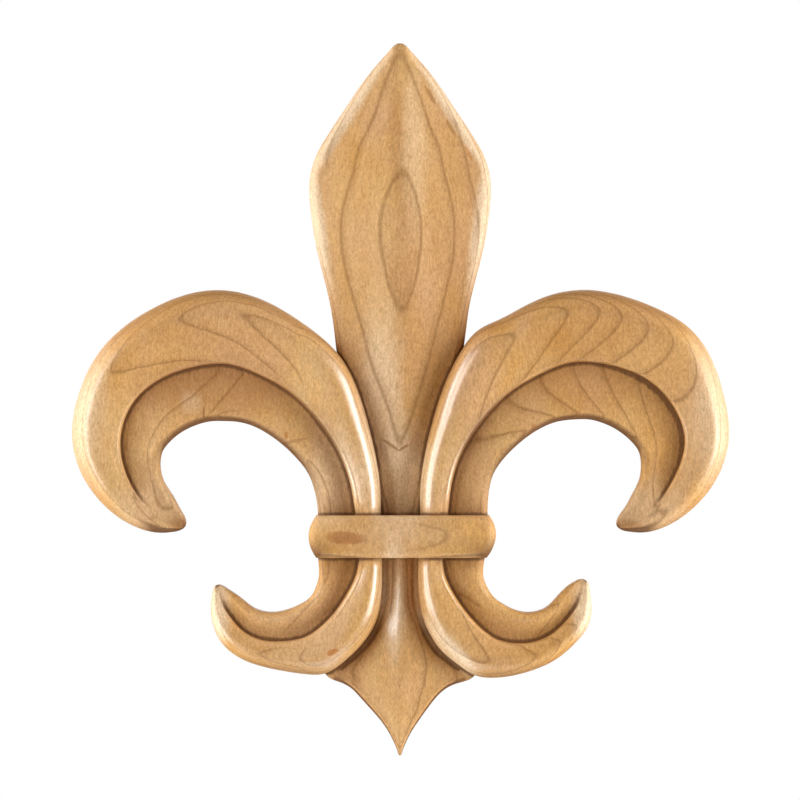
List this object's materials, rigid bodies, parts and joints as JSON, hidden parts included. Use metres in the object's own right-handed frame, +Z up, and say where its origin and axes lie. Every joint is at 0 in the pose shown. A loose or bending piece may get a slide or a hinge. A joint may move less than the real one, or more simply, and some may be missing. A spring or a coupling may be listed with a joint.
{
  "type": "carved wood applique",
  "caption": "Carved fleur-de-lis wood applique with a ridged blade, curled leaves tied by a cross band, a pointed foot and a flat back for fixing to furniture or a wall.",
  "frame": {"origin": "on the flat back, at the middle of the outline", "axes": "+Z up along the blade, +Y out of the flat back into the wall or panel, the carving faces -Y, +X to the right as seen from the front"},
  "size_m": [0.1643, 0.019, 0.178],
  "materials": {
    "carved_wood": "clear satin over pale tan hardwood, darker glaze left in the creases"
  },
  "bodies": {
    "root": {"fleur_de_lis_applique": "carved_wood"}
  },
  "joints": []
}
